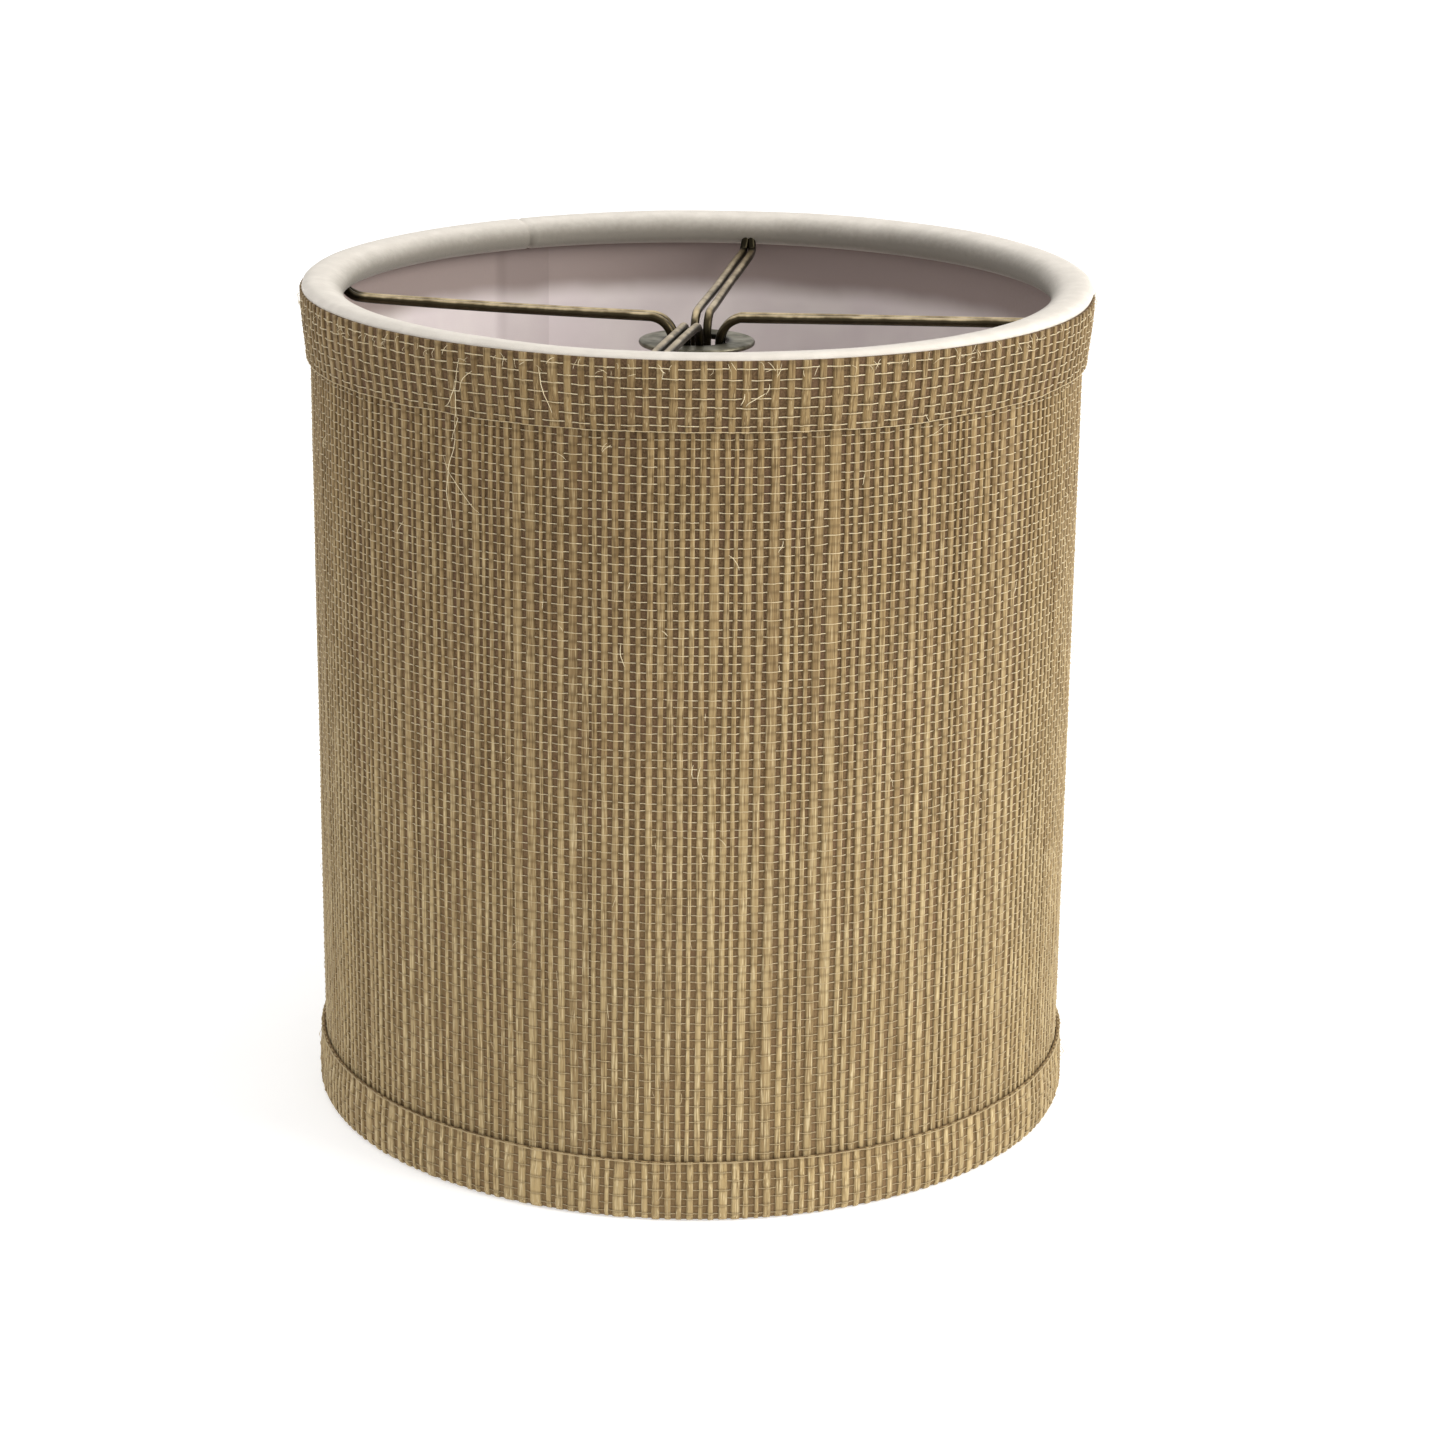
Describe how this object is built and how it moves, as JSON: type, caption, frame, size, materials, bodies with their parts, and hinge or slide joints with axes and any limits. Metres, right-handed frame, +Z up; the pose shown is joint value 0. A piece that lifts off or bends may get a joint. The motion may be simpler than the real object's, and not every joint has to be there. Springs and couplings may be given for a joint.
{
  "type": "lamp shade",
  "caption": "Small round drum lamp shade in woven grasscloth with cloth-trimmed rims, a pale liner, a four-arm wire fitter and a sprung wire bulb clip.",
  "frame": {"origin": "centre of the lower rim, on the surface that the shade stands on", "axes": "+Z up along the drum's axis; the fitter's four arms lie along +X, +Y, -X and -Y, named right, back, left and front"},
  "size_m": [0.1562, 0.1562, 0.1674],
  "materials": {
    "grasscloth": "matt plant-fibre weave, tan reeds over a brown paper backing",
    "trim_cloth": "the same weave, cut in strips, slightly lighter",
    "cotton_tape": "matt off-white woven cotton tape",
    "liner": "smooth matt translucent sheet, pale warm grey",
    "ring_steel": "dull drawn steel wire",
    "antique_brass": "dark antiqued plating, worn bright along the top",
    "washer_steel": "dull grey-green plated stamping"
  },
  "bodies": {
    "shade": {"grasscloth_cover": "grasscloth", "top_trim_band": "trim_cloth", "bottom_trim_band": "trim_cloth", "top_binding": "cotton_tape", "bottom_binding": "cotton_tape", "styrene_liner": "liner", "top_ring": "ring_steel", "bottom_ring": "ring_steel", "fitter_arm_right": "antique_brass", "fitter_arm_back": "antique_brass", "fitter_arm_left": "antique_brass", "fitter_arm_front": "antique_brass", "clip_washer": "washer_steel"},
    "loop_right": {"clip_loop_right": "antique_brass"},
    "loop_back": {"clip_loop_back": "antique_brass"},
    "loop_left": {"clip_loop_left": "antique_brass"},
    "loop_front": {"clip_loop_front": "antique_brass"}
  },
  "joints": [
    {"name": "loop_right_spread", "type": "hinge", "parent": "shade", "child": "loop_right", "pos_m": [0.0047, 0, 0.14985], "axis": [0, -1, 0], "range_deg": [0, 12], "stiffness_Nm_per_rad": 0.05},
    {"name": "loop_back_spread", "type": "hinge", "parent": "shade", "child": "loop_back", "pos_m": [0, 0.0047, 0.14985], "axis": [1, 0, 0], "range_deg": [0, 12], "stiffness_Nm_per_rad": 0.05},
    {"name": "loop_left_spread", "type": "hinge", "parent": "shade", "child": "loop_left", "pos_m": [-0.0047, 0, 0.14985], "axis": [0, 1, 0], "range_deg": [0, 12], "stiffness_Nm_per_rad": 0.05},
    {"name": "loop_front_spread", "type": "hinge", "parent": "shade", "child": "loop_front", "pos_m": [0, -0.0047, 0.14985], "axis": [-1, 0, 0], "range_deg": [0, 12], "stiffness_Nm_per_rad": 0.05}
  ]
}
